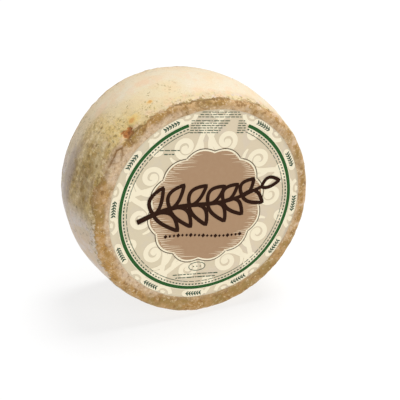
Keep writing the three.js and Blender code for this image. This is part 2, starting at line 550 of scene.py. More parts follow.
class Wheel:
    """The wheel's plain section: a bulging rim, two rounded edges and two flat faces."""

    def __init__(self, sizes):
        self.sizes = sizes
        self.half = sizes.thickness / 2
        self.rim_half = self.half - sizes.edge_round
        self.face_radius = sizes.shoulder - sizes.edge_round
        self.edge_way = sizes.edge_round * math.pi / 2
        self.height = sizes.radius - sizes.flat_spot
        self.centre = Vector((0, 0, self.height))

    def section(self, way):
        """Radius, distance from the middle plane and tilt at a way along the section."""
        sizes = self.sizes
        if way <= self.rim_half:
            fall = sizes.radius - sizes.shoulder
            radius = sizes.radius - fall * (way / self.rim_half) ** sizes.bulge
            slope = fall * sizes.bulge / self.rim_half * (way / self.rim_half) ** (sizes.bulge - 1)
            return radius, way, math.atan(slope)
        if way <= self.rim_half + self.edge_way:
            tilt = (way - self.rim_half) / sizes.edge_round
            radius = self.face_radius + sizes.edge_round * math.cos(tilt)
            return radius, self.rim_half + sizes.edge_round * math.sin(tilt), tilt
        return self.face_radius - (way - self.rim_half - self.edge_way), self.half, math.pi / 2

    def whole_way(self):
        """Way from the rim's middle to the middle of a face."""
        return self.rim_half + self.edge_way + self.face_radius


def out_of_round(angle):
    """How far the outline departs from a circle."""
    return sum(size * np.cos(lobes * (angle - math.radians(start))) for lobes, size, start in OUT_OF_ROUND)


def swell(points, count):
    """Broad hollows and swellings: waves of several lengths, each along its own direction."""
    total = np.zeros(len(points))
    for k in range(count):
        share = SWELL_SHRINK**k
        along = -1 + (2 * k + 1) / count
        across = math.sqrt(1 - along * along)
        turn = GOLDEN_ANGLE * k
        way = points @ np.array((across * math.cos(turn), along, across * math.sin(turn)))
        total += SWELL_SIZE * share * np.sin(TURN * way / (SWELL_LONGEST * share) + SWELL_PHASE * k)
    return total


def wander(angle, start):
    """An uneven value from about -1 to 1 that comes back to itself around the wheel."""
    total = np.zeros(len(angle))
    for i, waves in enumerate(WANDER_WAVES):
        total += np.sin(waves * angle + start + 2.1 * i) / (1.6 + 0.5 * i)
    return total / 2


class RindMesh:
    """Rings of points from the middle of the front face to the middle of the back face."""

    def __init__(self, wheel, rows):
        self.counts = []
        self.starts = []
        parts = {"way": [], "side": [], "angle": [], "radius": [], "y": [], "tilt": []}
        total = 0
        for way, side, count in rows:
            radius, y, tilt = wheel.section(way)
            angle = np.arange(count) * TURN / count
            self.counts.append(count)
            self.starts.append(total)
            total += count
            values = {"way": way, "side": side, "radius": radius, "y": side * y, "tilt": tilt}
            for name, value in values.items():
                parts[name].append(np.full(count, value))
            parts["angle"].append(angle)
        for name, arrays in parts.items():
            setattr(self, name, np.concatenate(arrays))
        out = np.stack((np.cos(self.angle), np.zeros(total), np.sin(self.angle)), axis=1)
        along = np.stack((np.zeros(total), self.side, np.zeros(total)), axis=1)
        self.points = out * self.radius[:, None] + np.array((0, 1, 0)) * self.y[:, None]
        self.outward = out
        self.normal = out * np.cos(self.tilt)[:, None] + along * np.sin(self.tilt)[:, None]

    def faces(self):
        """Quads between rings of one count, and triangles where the count doubles or halves."""
        faces = []
        for a, b, m, n in zip(self.starts, self.starts[1:], self.counts, self.counts[1:]):
            for i in range(max(m, n)):
                if m == n:
                    j = (i + 1) % m
                    faces.append((a + i, b + i, b + j, a + j))
                elif min(m, n) == 1:
                    j = (i + 1) % max(m, n)
                    faces.append((a, b + i, b + j) if m == 1 else (a + i, b, a + j))
                elif m > n and i < n:
                    j = (i + 1) % n
                    k = (2 * i + 2) % m
                    faces.append((a + 2 * i, b + i, a + 2 * i + 1))
                    faces.append((a + 2 * i + 1, b + i, b + j))
                    faces.append((a + 2 * i + 1, b + j, a + k))
                elif m < n and i < m:
                    j = (i + 1) % m
                    k = (2 * i + 2) % n
                    faces.append((a + i, b + 2 * i, b + 2 * i + 1))
                    faces.append((a + i, b + 2 * i + 1, a + j))
                    faces.append((a + j, b + 2 * i + 1, b + k))
        return faces


def graded(start, end, first, last):
    """Places after start up to end, with steps that change evenly from the first to the last."""
    count = round(2 * abs(end - start) / (first + last))
    share = np.arange(1, count + 1) / count
    reach = first * share + (last - first) * share**2 / 2
    return start + (end - start) * reach / reach[-1]


def rind_rows(wheel, around):
    """Ways, sides and counts of the rings: fine round the front edge, coarser behind and under the label."""
    rim_front = graded(wheel.rim_half, 0, LIP_STEP, MIDDLE_STEP)
    rim_back = graded(0, wheel.rim_half, MIDDLE_STEP, BACK_STEP)
    edge_front = wheel.rim_half + np.linspace(0, wheel.edge_way, FRONT_EDGE_RINGS)
    edge_back = wheel.rim_half + np.linspace(0, wheel.edge_way, BACK_EDGE_RINGS)[1:]
    front = [(edge_front[-1] + reach, around) for reach in np.arange(1, BAND_RINGS + 1) * BAND_STEP]
    reach, count = front[-1][0], around
    while count > 20:
        count //= 2
        reach += 0.35 * (wheel.whole_way() - reach)
        front.append((reach, count))
    back = []
    radius, count = wheel.face_radius, around
    while radius > 4 * MM:
        radius -= BACK_FACE_STEP
        if radius < 0.6 * wheel.face_radius * count / around:
            count //= 2
        back.append((wheel.whole_way() - radius, count))
    rows = [(wheel.whole_way(), -1, 1)]
    rows += [(way, -1, count) for way, count in reversed(front)]
    rows += [(way, -1, around) for way in [*edge_front[::-1], *rim_front]]
    rows += [(way, 1, around) for way in [*rim_back, *edge_back]]
    rows += [(way, 1, count) for way, count in back]
    rows.append((wheel.whole_way(), 1, 1))
    return rows


def label_frame(points):
    """Distances right and up from the label's middle, as on the turned label."""
    turn = bpy.context.scene.cheese_label.turn
    middle = (LABEL_LOW + LABEL_HIGH) / 2
    right = points[:, 0] - middle.x
    up = points[:, 2] - middle.z
    across = right * math.cos(turn) - up * math.sin(turn)
    along = right * math.sin(turn) + up * math.cos(turn)
    return across, along


def label_radius():
    """Radius of the paper, from the solid."""
    return (LABEL_HIGH.x - LABEL_LOW.x) / 2


def label_wave(across, along):
    """How far the label and the face under it rise and sink."""
    broad = 0.20 * np.sin(across / (13.5 * MM) + 0.6) * np.cos(along / (18.5 * MM))
    cross = 0.16 * np.sin((across + along) / (14.2 * MM) + 2.0)
    fine = 0.10 * np.sin(along / (7.4 * MM) - across / (15.1 * MM))
    return MM * (broad + cross + fine)


def form_noise(points, name):
    """One of the named noises of the form."""
    return rough_noise(points, *FORM_NOISES[name])


def within(angle, name):
    """A named stretch of the circumference as a mask."""
    return angle_mask(angle, *STRETCHES[name])


def chip_depth(rind):
    """Share of the depth of the flake that is missing from the front lip."""
    apart = rind.angle - math.radians(CHIP["angle"])
    along = bpy.context.scene.cheese_wheel.radius * np.sin(apart)
    ragged = 1 + 0.38 * form_noise(rind.points, "chip")
    distance = np.hypot(along, rind.y - CHIP["y"]) * ragged
    near = (np.cos(apart) > 0) & (rind.side < 0)
    return near * np.clip(1.35 - distance / CHIP["radius"], 0, 1)


def wrinkle_depth(rind, wheel):
    """A forked wrinkle that runs from the front lip down the left side."""
    total = np.zeros(len(rind.angle))
    place = np.stack((rind.angle * wheel.sizes.shoulder, rind.way), axis=1)
    for *ends, deep in WRINKLES:
        start, end = (np.array((math.radians(angle) * wheel.sizes.shoulder, way * MM)) for angle, way in ends)
        run = end - start
        share = np.clip((place - start) @ run / (run @ run), 0, 1)
        apart = np.linalg.norm(place - start - share[:, None] * run, axis=1)
        total = np.maximum(total, deep * np.clip(1.5 - apart / WRINKLE_WIDTH, 0, 1))
    return total * (rind.side < 0)


def spots(rind, wheel, kind):
    """Spots of one kind, which fall off evenly from their middles."""
    total = np.zeros(len(rind.angle))
    for angle, y, radius in SPOTS[kind]["places"]:
        apart = (rind.angle - math.radians(angle)) * wheel.sizes.shoulder
        total = np.maximum(total, 1 - np.hypot(apart, rind.y - y * MM) / (radius * MM))
    return total


def field(rind, name):
    """One of the soft fields as a mask."""
    around, (low, high, soft) = FIELDS[name]
    across = bump_mask(rind.y, (low + high) / 2 * MM, (high - low) / 2 * MM, soft * MM)
    return angle_mask(rind.angle, *around) * across


def past_label(rind, wheel):
    """Distances right and up from the label's middle, and how far beyond the label's edge each point lies."""
    across, along = label_frame(rind.points + np.array(wheel.centre))
    return across, along, np.hypot(across, along) - label_radius()


def lip_place(rind):
    """Way along the section where the rim's rind ends, uneven and shifted on two stretches."""
    stray = LIP_STRAY * wander(rind.angle, np.where(rind.side < 0, 0.4, 3.9))
    shift = sum(shift * within(rind.angle, name) for name, shift in LIP_SHIFTS.items())
    fray = LIP_FRAY * form_noise(rind.points, "fine")
    return LIP_PLACE + stray + fray + np.where(rind.side < 0, shift, 0)


def pink_reach(rind, pink):
    """How far the pinkish rind of the face reaches out from under the label."""
    bare = 4 * within(rind.angle, "pale_face") + 7 * within(rind.angle, "rosy_face")
    return (1.2 + 3.4 * pink - 1.8 * within(rind.angle, "ochre") + bare) * MM


def face_masks(rind, wheel, band, lump, patch):
    """The rinds of the rough edge band and of the two faces."""
    p = rind.points
    angle = rind.angle
    _, _, beyond_label = past_label(rind, wheel)
    pink = 0.45 + 0.5 * within(angle, "pinker") - 0.2 * within(angle, "less_pink")
    reach = pink_reach(rind, pink)
    near_label = 1 - smooth_step(beyond_label + 2.6 * MM * patch, reach - 2 * MM, reach + 2 * MM)
    face_start = wheel.rim_half + wheel.edge_way
    back_face = smooth_step(rind.way + 3 * MM * patch, face_start - 3 * MM, face_start + 3 * MM)
    lines = 1 - smooth_step(np.abs(smooth_noise(p, 7.5 * MM, 83)), 0.02, 0.13)
    back = back_face * (rind.side > 0)
    return {
        "band": band,
        # Where the painted shadow of the crease under the lip is laid
        "crease": within(angle, "creased") * np.clip(0.55 + 1.2 * lump, 0, 1),
        "ochre": within(angle, "ochre"),
        # Fewer light patches along the bottom, as painted shade
        "lighter": 0.85 - 0.35 * within(angle, "ochre") - 0.60 * within(angle, "duller"),
        "crack": lines * band * np.clip(1.3 * lump, 0, 1),
        "face": np.where(rind.side < 0, pink * near_label, back_face),
        "back": back,
        "mat": back * mat_print(p) / -MAT_DEPTH,
        "chip": chip_depth(rind),
        "wrinkle": wrinkle_depth(rind, wheel),
    }


def side_masks(rind, beyond, lump):
    """The mouldy side of the rim, its grey bloom and painted sheen towards the back, and its soft fields."""
    angle = rind.angle
    degrees = np.degrees(angle) % 360
    start = 114 + 12 * smooth_step(rind.y, -28 * MM, -4 * MM) + 8 * smooth_step(rind.y, 4 * MM, 24 * MM)
    left = smooth_step(degrees, start - 8, start + 16) * (1 - smooth_step(degrees, 168, 192))
    side = np.clip(left + 0.5 * within(angle, "right"), 0, 1)
    under = within(angle, "under") * np.clip(0.35 + 1.2 * lump, 0, 1)
    toward_back = smooth_step(rind.y, 2 * MM, 34 * MM)
    # Grey bloom mixed with a painted sheen, strongest towards the back and low on the left
    bloom = toward_back * (0.35 + 0.55 * left) + 0.8 * within(angle, "low_left") + 0.3 * lump * side
    masks = {name: field(rind, name) for name in FIELDS}
    masks["streak"] = np.clip(masks["streak"] * (0.95 + 0.7 * lump) + 0.8 * under, 0, 1)
    # Moss, with painted shade along the bottom of the wheel
    masks["moss"] = np.clip(0.8 * within(angle, "moss_and_shade_below") + 0.4 * side + 0.9 * lump, 0, 1)
    masks["olive"] = np.clip(side * (1 - 0.6 * toward_back) * (0.95 + 0.4 * lump), 0, 1)
    masks["bloom"] = np.clip(bloom, 0, 1)
    front = np.where(rind.side < 0, 1, 0.5)
    masks["near"] = (1 - smooth_step(-beyond, 5 * MM, 16 * MM)) * front
    # Just inside the lip: the pale flecks there are partly a painted highlight on the raised lip
    masks["lip"] = (1 - smooth_step(-beyond, 1.5 * MM, 7 * MM)) * front
    return masks


def rind_masks(rind, wheel):
    """Where each kind of rind lies, from 0 to 1, and how far beyond the lip each point is."""
    lump = form_noise(rind.points, "lump")
    patch = form_noise(rind.points, "patch")
    beyond = rind.way - lip_place(rind)
    band = smooth_step(beyond + 0.7 * MM * patch, -0.5 * MM, 0.9 * MM)
    masks = {
        **face_masks(rind, wheel, band, lump, patch),
        **side_masks(rind, beyond, lump),
        **{kind: spots(rind, wheel, kind) for kind in SPOTS},
        "edge": np.clip(0.5 + beyond / (6 * MM), 0, 1),
    }
    return masks, beyond


def rim_skin(rind, masks, beyond):
    """Crags, pits, grooves and fine roughness of the rind."""
    p = rind.points
    smooth = 1 - masks["band"]
    crags = CRAG_DEPTH * form_noise(p, "crag") - CRACK_DEPTH * masks["crack"]
    crags = masks["band"] * crags * np.where(rind.side < 0, 1, BACK_CRAGS)
    rough = 0.07 + 0.17 * masks["olive"] + 0.10 * masks["near"]
    skin = rough * MM * smooth * form_noise(p, "skin")
    pitted = np.clip(masks["olive"] + 0.3 * masks["near"], 0, 1) * smooth
    pits = PIT_DEPTH * pitted * smooth_step(smooth_noise(p, 2.8 * MM, 47), 0.40, 0.72)
    crease = bump_mask(beyond, 0.6 * MM, 0.3 * MM, 0.9 * MM) * masks["crease"]
    grooves = CHIP["depth"] * masks["chip"] + WRINKLE_DEPTH * masks["wrinkle"] + CREASE_DEPTH * crease
    return crags + skin - pits - grooves


def rind_relief(rind, wheel, masks, beyond):
    """Height of the rind over the plain section along its normal."""
    p = rind.points
    front = rind.side < 0
    face_start = wheel.rim_half + wheel.edge_way
    on_rim = 1 - smooth_step(rind.way, wheel.rim_half, face_start)
    height = wheel.sizes.lip_height * (0.75 + 0.5 * wander(rind.angle, np.where(front, 2.2, 5.1)))
    height = height * np.where(front, 1, LIP_BACK)
    lip = height * smooth_step(-beyond, -0.6 * MM, 0.8 * MM) * (1 - smooth_step(-beyond, 2 * MM, 14 * MM))
    rim = on_rim * (swell(p, RIM_WAVES) + lip)
    across, along, beyond_label = past_label(rind, wheel)
    bare = np.where(front, smooth_step(beyond_label, 0, 2.5 * MM), 1)
    paper = label_wave(across, along) + PAPER_BEDDED * bump_mask(beyond_label, 0.5 * MM, 1.5 * MM, 4 * MM)
    under = (1 - smooth_step(beyond_label, 0, 5 * MM)) * paper
    recess = LABEL_RECESS * (1 - smooth_step(beyond_label, -4 * MM, -1.5 * MM))
    broad = bare * FACE_SWELL * swell(p, FACE_WAVES)
    face = (1 - on_rim) * (broad + np.where(front, under - recess, 0))
    mat = np.where(front, 0, mat_print(p) * smooth_step(rind.way, face_start, 56 * MM))
    return rim + face + mat + bare * rim_skin(rind, masks, beyond)


def mat_print(points):
    """Ridges that the draining mat left on the back face."""
    warp = 1.2 * MM * smooth_noise(points, 22 * MM, 53)
    ridge = 0.5 + 0.5 * np.cos(TURN * (points[:, 0] * 0.94 + points[:, 2] * 0.34 + warp) / MAT_PITCH)
    worn = 0.5 + 0.5 * np.clip(1.4 * smooth_noise(points, 16 * MM, 59), -1, 1)
    return -MAT_DEPTH * ridge**3 * (0.35 + 0.65 * worn)


# The rind's colours

# Noises: lumps in millimetres, detail, roughness, and for some how they are squeezed along X, Y and Z
RIND_NOISES = {
    "cloud": (16, 4, 0.6),
    "large": (10.5, 3, 0.55),
    "cluster": (8.5, 3, 0.6),
    "patch": (6.2, 4, 0.65),
    "fleck": (3.0, 5, 0.7),
    "speck": (2.1, 3, 0.6, (1, 1.3, 0.9)),
    "streaky": (8.5, 4, 0.6, (1, 1.3, 0.8)),
    "fine": (1.3, 4, 0.65),
    "grain": (0.5, 3, 0.6),
}
RIND_BUMPS = (("fleck", 0.5), ("fine", 0.3), ("grain", 0.2))
GRAIN_TONES = ((0.25, 0.25, 0.25), (0.75, 0.75, 0.75))
GRAIN_SHARE = 0.30

# Layers of colour, each over the one before: the colour, and what its share is the product of, which is masks
# by name, noises with their ranges, and numbers
CLEAN_RIM = (
    ("warm", ("cloud", 0.40, 0.66)),
    ("blush", ("large", 0.52, 0.60), 0.35),
    ("pale", ("patch", 0.44, 0.37), 0.2),
    ("edge", "near", 0.7),
    ("blush", "near", ("patch", 0.51, 0.57), 0.8),
    ("lilac", "near", ("cluster", 0.54, 0.60), 0.55),
    ("pale", "near", ("patch", 0.47, 0.42), 0.6),
    ("lichen", "near", ("cluster", 0.46, 0.41), 0.4),
)
MOULDY_SIDE = (
    ("khaki", ("large", 0.40, 0.60)),
    ("honey", "honey"),
    ("rosy", ("patch", 0.54, 0.64), 0.5),
    ("pale", ("fleck", 0.52, 0.60), 0.95),
    ("moss", ("fleck", 0.46, 0.39), 0.8),
)
# Patches over the grey bloom and its painted sheen; towards the top it gives way to the edge colour
BLOOM_AND_SHEEN = (
    ("dust", ("patch", 0.40, 0.60)),
    ("lichen", ("large", 0.48, 0.57), 0.6),
    ("shade", ("fleck", 0.46, 0.36), 0.5),
    ("edge", ("height", 0.115, 0.17), 0.9),
)
EDGE_BAND = (
    ("ochre", "ochre", ("cluster", 0.40, 0.50)),
    ("tan", ("large", 0.44, 0.55), "lighter"),
    ("rosy", ("patch", 0.54, 0.62), "lighter"),
    # Moss, darker along the bottom as painted shade
    ("moss", "moss", ("cloud", 0.38, 0.56), 0.75),
    ("deep", ("patch", 0.46, 0.38), 0.75),
    ("crumb", ("fleck", 0.54, 0.60), ("fine", 0.46, 0.56), 0.8),
)
PINK_FACE = (
    ("rosy", ("fleck", 0.40, 0.60)),
    ("tan", ("patch", 0.48, 0.58), 0.5),
    ("deep", ("fleck", 0.45, 0.38), 0.6),
    ("crumb", ("fleck", 0.54, 0.60), 0.7),
)
BACK_FACE = (
    ("edge", ("cloud", 0.40, 0.60)),
    ("tan", ("large", 0.50, 0.60), 0.7),
    ("olive", ("cluster", 0.44, 0.36), 0.6),
    ("band", ("patch", 0.44, 0.36), 0.5),
    ("crumb", ("fleck", 0.56, 0.64), 0.5),
    ("moss", ("ragged mat", 0.25, 0.75), 0.45),
)
# Masks made ragged by noises, under names of their own
RAGGED = {
    "ragged mat": ("mat", ("fleck", 0.9)),
    "ragged edge": ("edge", ("fleck", 1.3), ("patch", 1.1)),
    "ragged chip": ("chip", ("fleck", 1.2)),
    "scarred chip": ("chip", ("patch", 3.0), ("fleck", 2.0)),
}
SPOT_NOISES = (("fleck", 1.2), ("fine", 0.6))


def rim_base(finish):
    """The cream rind of the rim with its olive, grey and rosy fields, with painted sheen in the grey and
    painted shade in the lilac field.
    """
    base = finish.lay("cream", *CLEAN_RIM)
    base = finish.lay(base, (finish.lay("olive", *MOULDY_SIDE), "olive"))
    return finish.lay(
        base,
        ("streak", "streak", ("streaky", 0.30, 0.60), 0.72),
        # Grey bloom with a painted sheen towards the back
        (finish.lay("bloom", *BLOOM_AND_SHEEN), "bloom", 0.85),
        # Painted shade on a dull lilac field where the left side turns from the light
        ("shade", "shade", ("large", 0.30, 0.50), 0.7),
        ("rosy", "rosy", ("large", 0.38, 0.60), 0.6),
    )


def rim_marks(finish, base):
    """Specks, crumbs, smears and spots on the rim."""
    dots = finish.together(("speck", 0.56, 0.63), ("cluster", 0.46, 0.60))
    smear = finish.together(("fleck", 0.51, 0.43), ("cluster", 0.43, 0.53), 0.85)
    base = finish.lay(
        base,
        ("speck", dots, "olive", 0.7),
        ("pale", "speckled", 0.4),
        ("moss", dots, "speckled", 0.7),
        ("moss", "near", ("fleck", 0.43, 0.36), 0.6),
        ("speck", dots, "bloom", 0.6),
        # Pale crumbs along the lip, partly a painted highlight on the raised lip
        ("crumb", "lip", ("fleck", 0.50, 0.60), 0.6),
        ("moss", "lip", smear),
    )
    for kind, spot in SPOTS.items():
        ragged = finish.uneven(finish.mask(kind), *SPOT_NOISES)
        base = finish.lay(base, (spot["colour"], finish.step(ragged, *spot["fade"]), spot["share"]))
    return base


def rind_material():
    """Rind: cream, olive, grey and brown fields with specks, crumbs and pores."""
    finish = Finish("cheese_rind", roughness=0.72, specular=0.3)
    finish.fix("Sheen Weight", 0.12)
    finish.fix("Sheen Roughness", 0.4)
    # Patches reach further across the rim than around it
    finish.place = finish.stretched((1, 0.64, 1))
    finish.patterns = {name: finish.noise(*settings) for name, settings in RIND_NOISES.items()}
    finish.patterns["height"] = finish.axis("Z")
    for name, (mask, *noises) in RAGGED.items():
        finish.patterns[name] = finish.uneven(finish.mask(mask), *noises)
    inside = finish.step(finish.mask("chip"), 0, 0.15)
    # Painted shadow along the crease under the lip
    crease = finish.together(("ragged edge", 0.36, 0.46), ("ragged edge", 0.92, 0.70))
    base = finish.lay(
        rim_marks(finish, rim_base(finish)),
        (finish.lay("band", *EDGE_BAND), ("ragged edge", 0.42, 0.56)),
        (finish.lay("face", *PINK_FACE), "face"),
        (finish.lay("face", *BACK_FACE), "back"),
        ("deep", "crack", 0.4),
        # Painted shadow in the crease under the lip
        ("crease", crease, "crease", ("cluster", 0.40, 0.52), 0.9),
        ("flesh", inside, ("ragged chip", 0.22, 0.42)),
        ("scar", inside, ("scarred chip", 0.55, 0.80), 0.85),
        ("deep", "wrinkle", 0.95),
    )
    base = finish.mix(GRAIN_SHARE, base, finish.mix(("grain", 0.3, 0.7), *GRAIN_TONES), "OVERLAY")
    height = 0.0
    for name, share in RIND_BUMPS:
        height = finish.math("MULTIPLY_ADD", finish.patterns[name], share, height)
    return finish.done(base, height, depth=0.8 * MM, strength=0.8)


def build_rind():
    """The whole cheese with its relief, in place of its plain solid."""
    sizes = bpy.context.scene.cheese_wheel
    wheel = Wheel(sizes)
    rind = RindMesh(wheel, rind_rows(wheel, sizes.around))
    masks, beyond = rind_masks(rind, wheel)
    outward = smooth_step(rind.radius, 0.6 * wheel.face_radius, sizes.shoulder)
    relief = rind_relief(rind, wheel, masks, beyond)
    points = rind.points + rind.outward * (outward * out_of_round(rind.angle))[:, None]
    points += rind.normal * relief[:, None]
    points[:, 2] = np.maximum(points[:, 2], -wheel.height)
    points += np.array(wheel.centre)
    piece = new_piece("cheese_rind", points, rind.faces(), rind_material())
    for name, values in masks.items():
        keep_mask(piece, name, values)
    belongs(piece, "rind", "cheese_wheel")


# The label and its print

LAYER = 0.03 * MM
# Each stroke lies a little over the one before, so that crossing strokes seldom share a plane
STROKE_LIFT = 0.002 * MM
STROKE_LIFTS = 7
# Pieces of the label in layers, from the paper up
LEVELS = {
    "label_paper": 0,
    "label_scrolls": 2,
    "border_fields": 3,
    "band_halo": 4,
    "rosette_ground": 5,
    "ring_dashes": 5,
    "green_ring": 6,
    "border_sprigs": 6,
    "rosette_field": 7,
    "rosette_line": 7,
    "rosette_hatching": 9,
    "small_marks": 9,
    "leafy_sprig": 12,
    "diamond_row": 12,
}
PAPER_STEPS = 180
PAPER_RINGS = 26
PAPER_STRAY = 0.12 * MM

# Scrolls: how many, the ring that they stand on, and their form
LARGE_SCROLLS = 10
LARGE_SCROLL_RING = 60.5 * MM
LARGE_SCROLL = {"radius": 9.8 * MM, "turns": 1.5, "tail": 36 * MM, "width": 4.5 * MM}
SCROLL_EYE = 2.1 * MM
SCROLL_ARC = {"radius": 15.2 * MM, "from": 1.2, "to": 4.2, "width": 4.3 * MM}
SMALL_SCROLL_RING = 73.5 * MM
SMALL_SCROLL = {"radius": 4.8 * MM, "turns": 1.2, "tail": 24 * MM, "width": 3.6 * MM}
TAIL_STEPS = 16
BORDER_ARCS = 18
BORDER_ARC_RING = 89.0 * MM
# Radius and width of the two arcs at each place of the border
BORDER_ARC_SIZES = ((8.4 * MM, 3.6 * MM), (3.4 * MM, 2.6 * MM))
SCROLL_MARGIN = {"rosette": 4 * MM, "edge": 1.4 * MM}

BAND_STEPS = 300
HALO_MARGIN = 1.3 * MM
DASH_RING = {"radius": 75.1 * MM, "count": 132, "half": 0.85 * MM, "width": 1.0 * MM}
HAIRLINE = {"radius": 72.4 * MM, "count": 66, "half": 2.65 * MM, "stray": 0.35 * MM, "width": 0.5 * MM}

GROUND_MARGIN = 1.9 * MM
LINE_MARGIN = 2.0 * MM
LINE_WIDTH = 0.75 * MM
ROSETTE_RINGS = 14
LOBE_STEPS = 12
HATCH_ROWS = 54
HATCH_REACH = 0.93
HATCH_TIP = 0.05 * MM

STEM_STEPS = 40
SPRIG_LEAVES = 6
SPRIG_LINE = 3.4 * MM
TIP_LINE = 3.2 * MM
BORDER_PLACES = 12
BORDER_SPRIG = {"ring": 84.3 * MM, "half": 7.4 * MM, "stem": 0.6 * MM, "long": 3.1 * MM, "wide": 1.15 * MM}
BORDER_FIELD = {"ring": 83.9 * MM, "half": 11 * MM, "width": 6.6 * MM}

# Groups of rows of dashes, in millimetres: rows, height of the first, step down and thickness of a dash, and
# for each column its left end with its step per row and its right end with its step per row
DASH_ROWS = (
    {"rows": 3, "up": 85.2, "step": 2.1, "tall": 0.58, "columns": ((-17, -1.5, 17, 1.5),)},
    {"rows": 6, "up": 77.6, "step": 2.1, "tall": 0.68, "columns": ((-25.5, 0, 10, -2), (17.5, 0, 25, 0))},
    {"rows": 2, "up": -65.0, "step": 3.0, "tall": 0.8, "columns": ((-22, 3, 22, -3),)},
    {"rows": 2, "up": 51.6, "step": 3.4, "tall": 0.8, "columns": ((-50, 4, -32, -5),)},
)
OVAL = {"wide": 7.8 * MM, "tall": 4.0 * MM, "up": -57.6 * MM, "line": 0.5 * MM}
OVAL_DOTS = 3
OVAL_DOT = 0.55 * MM
OVAL_DOT_STEP = 3.2 * MM
DIAMONDS = 19


def polar(radius, angle, middle=(0.0, 0.0)):
    """Points at a radius and an angle around a middle."""
    return np.stack((middle[0] + radius * np.cos(angle), middle[1] + radius * np.sin(angle)), axis=-1)


def arc(radius, steps, start, end, middle=(0.0, 0.0)):
    """Points along an arc with both its ends."""
    return polar(radius, np.linspace(start, end, steps + 1), middle)


def ring_angles(steps):
    """Angles all the way round."""
    return np.arange(steps) * TURN / steps


class Print:
    """Thin closed plates that lie on the paper, gathered into one piece."""

    def __init__(self, name):
        self.name = name
        self.points = []
        self.faces = []
        self.strokes = 0

    def place(self, flat, lift):
        """Points of the label's plane at a height over the paper, in the row's frame."""
        turn = bpy.context.scene.cheese_label.turn
        middle = (LABEL_LOW + LABEL_HIGH) / 2
        across, along = flat[:, 0], flat[:, 1]
        x = middle.x + across * math.cos(turn) + along * math.sin(turn)
        z = middle.z - across * math.sin(turn) + along * math.cos(turn)
        y = LABEL_LOW.y - label_wave(across, along) - lift
        return np.stack((x, y, z), axis=1)

    def add(self, flat, faces, edge):
        """A plate over flat faces, with walls along its edge, which is given as rings of corners."""
        start = len(self.points)
        count = len(flat)
        lift = LEVELS[self.name] * LAYER + STROKE_LIFT * (self.strokes % STROKE_LIFTS)
        self.strokes += 1
        self.points += self.place(flat, lift + LAYER).tolist()
        self.points += self.place(flat, lift - LAYER).tolist()
        self.faces += [tuple(start + i for i in face) for face in faces]
        self.faces += [tuple(start + count + i for i in reversed(face)) for face in faces]
        for ring in edge:
            for a, b in zip(ring, (*ring[1:], ring[0])):
                self.faces.append((start + a, start + count + a, start + count + b, start + b))

    def stroke(self, path, width, closed=False):
        """A pen stroke along a path; width is one value or one for each point."""
        path = np.asarray(path, dtype=float)
        width = np.broadcast_to(width, len(path))
        if closed:
            along = np.roll(path, -1, axis=0) - np.roll(path, 1, axis=0)
        else:
            along = np.gradient(path, axis=0)
        along /= np.maximum(np.linalg.norm(along, axis=1), 1e-12)[:, None]
        across = np.stack((-along[:, 1], along[:, 0]), axis=1) * width[:, None] / 2
        flat = np.concatenate((path + across, path - across))
        n = len(path)
        faces = [(i, n + i, n + i + 1, i + 1) for i in range(n - 1)]
        if closed:
            faces.append((n - 1, 2 * n - 1, n, 0))
            edge = [tuple(reversed(range(n))), tuple(range(n, 2 * n))]
        else:
            edge = [(*range(n, 2 * n), *reversed(range(n)))]
        self.add(flat, faces, edge)

    def disc(self, outline, middle=(0.0, 0.0), rings=1):
        """A filled shape whose outline is seen whole from its middle."""
        outline = np.asarray(outline, dtype=float)
        middle = np.asarray(middle, dtype=float)
        n = len(outline)
        flat = [middle + (outline - middle) * (k / rings) for k in range(1, rings + 1)]
        flat = np.concatenate([*flat, middle[None]])
        faces = [(n * rings, i, (i + 1) % n) for i in range(n)]
        for k in range(rings - 1):
            for i in range(n):
                j = (i + 1) % n
                faces.append((n * k + i, n * (k + 1) + i, n * (k + 1) + j, n * k + j))
        self.add(flat, faces, [tuple(reversed(range(n * (rings - 1), n * rings)))])

    def finished(self, shade, slot, *nodes, bare=0.015):
        """The finished piece in one of the inks."""
        material = ink(f"{self.name}_ink", shade, bare)
        belongs(new_piece(self.name, np.array(self.points), self.faces, material, smooth=False), slot, *nodes)


def ink(name, shade, bare):
    """Printed ink: slightly uneven, with the paper showing through by a share at the barest places."""
    finish = Finish(name, roughness=0.6, specular=0.04)
    full = getattr(finish.colours, shade)
    paler = tuple((1 - bare) * value + bare * ground for value, ground in zip(full, finish.colours.paper))
    wear = finish.step(finish.noise(lump=3.5, detail=5, roughness=0.7), 0.30, 0.75)
    base = finish.lay(full, (paler, wear, 0.6))
    grain = finish.noise(lump=0.9, detail=3, roughness=0.6)
    return finish.done(base, grain, depth=0.08 * MM, strength=0.3)


def paper_material():
    """Paper with faint fibres, and with lilac and damp patches that only tint it."""
    finish = Finish("label_paper", roughness=0.6, specular=0.25)
    fibres = finish.noise(lump=1.1, detail=4, roughness=0.7)
    rosy = finish.step(finish.noise(lump=13, detail=3, roughness=0.6), 0.52, 0.62)
    left = finish.step(finish.axis("X"), 0.07, -0.09)
    blots = finish.noise(lump=18, detail=4, roughness=0.6)
    damp = finish.step(finish.uneven(left, (blots, 2.8)), 0.1, 0.9)
    base = finish.lay(
        "paper",
        ("lilac_paper", rosy, 0.4),
        ("damp", damp, 0.25),
        ("fibre", finish.step(fibres, 0.55, 0.75), 0.35),
    )
    return finish.done(base, fibres, depth=0.10 * MM, strength=0.4)


def build_paper():
    """The round paper, as one thin wavy sheet."""
    sheet = Print("label_paper")
    rim = label_radius() + PAPER_STRAY * np.sin(np.arange(PAPER_STEPS) * 0.9)
    sheet.disc(polar(rim, ring_angles(PAPER_STEPS)), rings=PAPER_RINGS)
    points = np.array(sheet.points)
    half = len(points) // 2
    points[:half, 1] += LAYER
    points[half:, 1] = points[:half, 1] + bpy.context.scene.cheese_label.paper
    belongs(new_piece(sheet.name, points, sheet.faces, paper_material()), "label_paper", "paper_label")


